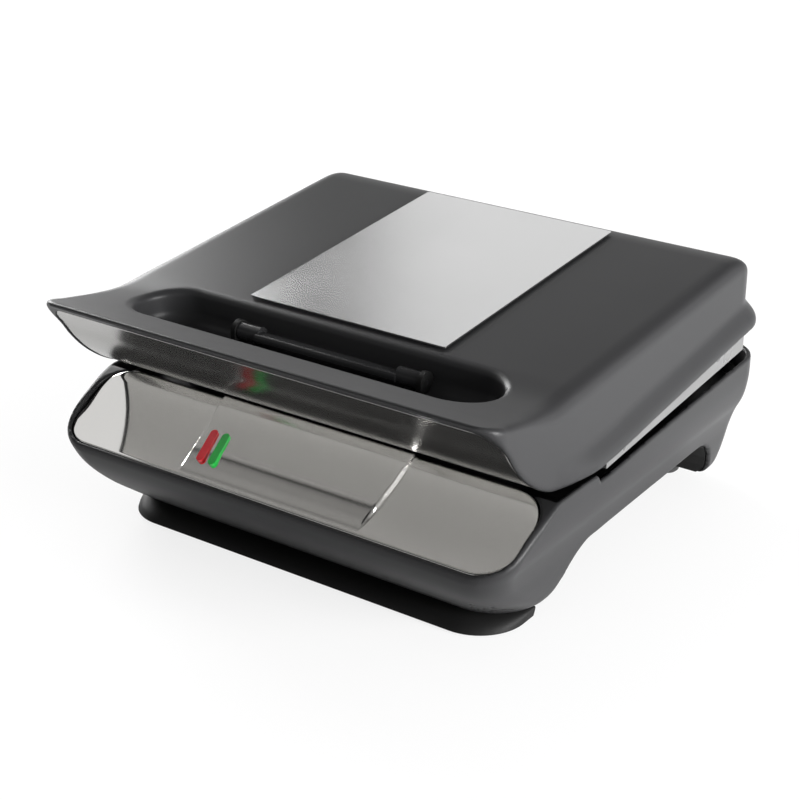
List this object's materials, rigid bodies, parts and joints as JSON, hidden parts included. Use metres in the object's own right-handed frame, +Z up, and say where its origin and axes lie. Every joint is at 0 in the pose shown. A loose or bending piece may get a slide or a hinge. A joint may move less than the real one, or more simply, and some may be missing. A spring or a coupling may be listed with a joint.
{
  "type": "contact grill",
  "caption": "Contact grill with a floating hinged lid, a grip recess with a latch lever, a metal top plate, glossy front panels and ribbed cooking plates.",
  "frame": {"origin": "on the table, at the middle of the whole grill seen from above", "axes": "+X to the viewer's right as one faces the grill's front, +Y to the rear where the hinge is, +Z up"},
  "size_m": [0.3066, 0.294, 0.1479],
  "materials": {
    "housing_plastic": "satin metallic grey moulding",
    "gloss_panel": "polished dark panel",
    "top_metal": "fine satin",
    "black_plastic": "matte",
    "liner_plastic": "smooth",
    "latch_plastic": "smooth",
    "red_lens": "clear moulded",
    "green_lens": "clear moulded",
    "lamp_glass": "clear",
    "coated_plate": "die-cast, non-stick coated",
    "steel": "plain",
    "pan_metal": "rolled",
    "ceramic_white": "matte",
    "wire_red": "silicone sleeve",
    "foot_rubber": "matte"
  },
  "bodies": {
    "base": {"base_shell": "housing_plastic", "bottom_cover": "black_plastic", "base_front_panel": "gloss_panel", "red_lamp_lens": "red_lens", "green_lamp_lens": "green_lens", "lamp_holder": "black_plastic", "neon_lamps": "lamp_glass", "base_liner": "black_plastic", "lower_grill_plate": "coated_plate", "lower_plate_screws": "steel", "lower_heating_element": "steel", "lower_reflector_pan": "pan_metal", "thermostat": "ceramic_white", "terminal_block": "ceramic_white", "base_leads": "wire_red", "cord_gland": "black_plastic", "cord_clamp": "black_plastic", "hinge_brackets": "steel", "latch_striker": "steel", "bottom_screws": "steel", "rubber_feet": "foot_rubber"},
    "hinge_slider": {"hinge_pins": "steel", "slide_blocks": "black_plastic"},
    "lid": {"lid_cover": "housing_plastic", "top_plate": "top_metal", "lid_front_panel": "gloss_panel", "lid_liner": "liner_plastic", "upper_grill_plate": "coated_plate", "upper_plate_screws": "steel", "upper_heating_element": "steel", "upper_reflector_pan": "pan_metal", "thermal_fuse": "pan_metal", "lid_leads": "wire_red", "hinge_ears": "black_plastic", "lid_screws": "steel", "latch_ears": "black_plastic", "latch_pins": "steel"},
    "latch": {"latch_lever": "latch_plastic"}
  },
  "joints": [
    {"name": "lid_float", "type": "slide", "parent": "base", "child": "hinge_slider", "axis": [0, 0, 1], "range_m": [0, 0.012]},
    {"name": "lid_hinge", "type": "hinge", "parent": "hinge_slider", "child": "lid", "pos_m": [0, 0.13, 0.103], "axis": [-1, 0, 0], "range_deg": [0, 100]},
    {"name": "latch_pivot", "type": "hinge", "parent": "lid", "child": "latch", "pos_m": [0, -0.077, 0.119], "axis": [-1, 0, 0], "range_deg": [0, 6]}
  ]
}
